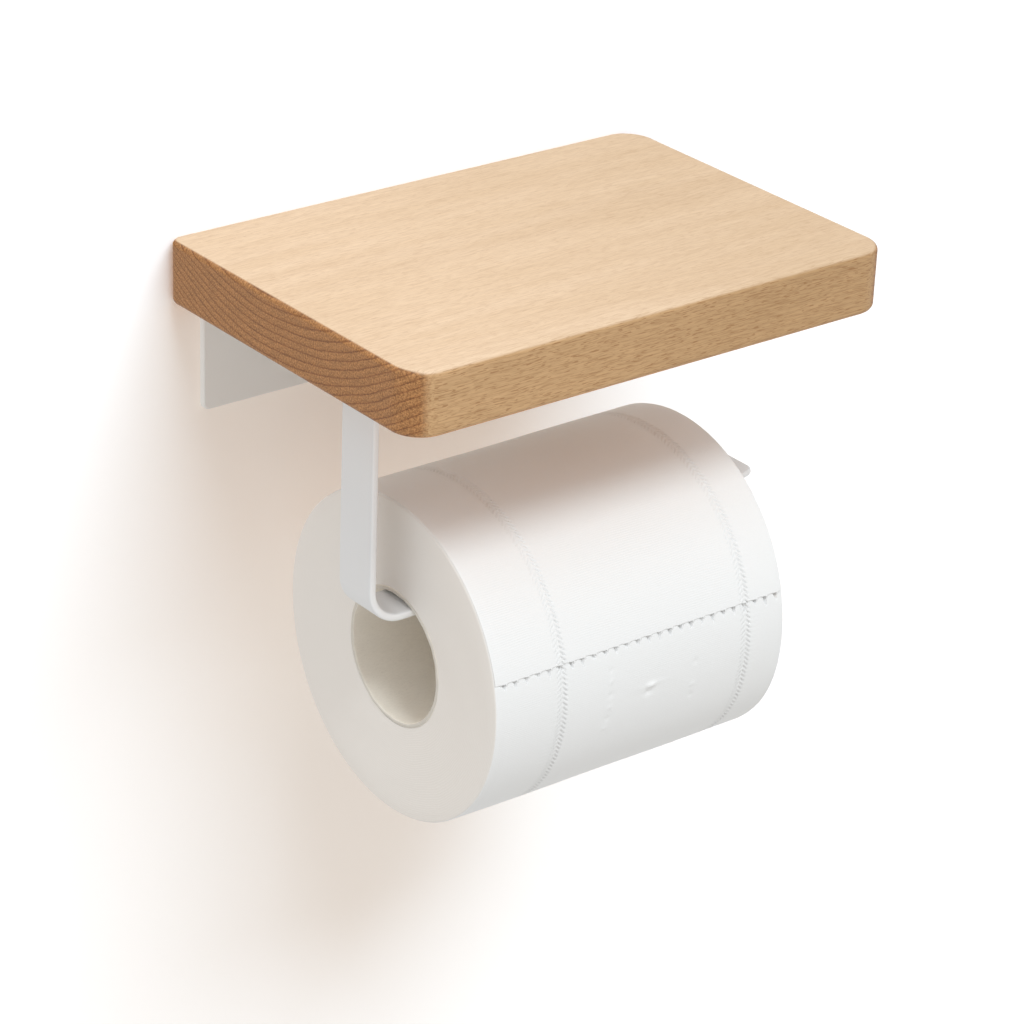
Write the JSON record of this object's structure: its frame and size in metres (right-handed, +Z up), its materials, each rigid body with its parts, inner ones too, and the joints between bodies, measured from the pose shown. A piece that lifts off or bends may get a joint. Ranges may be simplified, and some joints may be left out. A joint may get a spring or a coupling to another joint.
{
  "type": "toilet paper holder",
  "caption": "Wall-mounted toilet paper holder: a wooden shelf on a folded steel bracket, with a bent flat-steel arm that carries a paper roll under it.",
  "frame": {"origin": "centre of the wall bracket's back face, in the plane of the wall", "axes": "+X to the right for someone facing the wall, towards the arm's open end; +Y into the wall; +Z up"},
  "size_m": [0.175, 0.1572, 0.1725],
  "materials": {
    "beech": "fine-grained beech, clear matt oil",
    "white_coat": "pale grey-white powder coat, satin",
    "zinc_screw": "bright zinc plate",
    "nylon_plug": "moulded nylon",
    "cardboard": "spiral-wound greyboard",
    "tissue": "soft embossed tissue"
  },
  "bodies": {
    "holder": {"shelf": "beech", "wall_bracket": "white_coat", "roll_arm": "white_coat", "bracket_screw_1": "zinc_screw", "bracket_screw_2": "zinc_screw", "bracket_screw_3": "zinc_screw", "bracket_screw_4": "zinc_screw", "arm_screw_1": "zinc_screw", "arm_screw_2": "zinc_screw", "wall_screw_left": "zinc_screw", "wall_screw_right": "zinc_screw", "wall_plug_left": "nylon_plug", "wall_plug_right": "nylon_plug"},
    "core": {"cardboard_core": "cardboard"},
    "paper": {"paper_roll": "tissue", "tail_sheet": "tissue"}
  },
  "joints": [
    {"name": "roll_lift", "type": "slide", "parent": "holder", "child": "core", "axis": [0, 0, 1], "range_m": [0, 0.03]},
    {"name": "roll_spin", "type": "hinge", "parent": "core", "child": "paper", "pos_m": [0.0045, -0.0635, -0.08251], "axis": [1, 0, 0], "continuous": true}
  ]
}
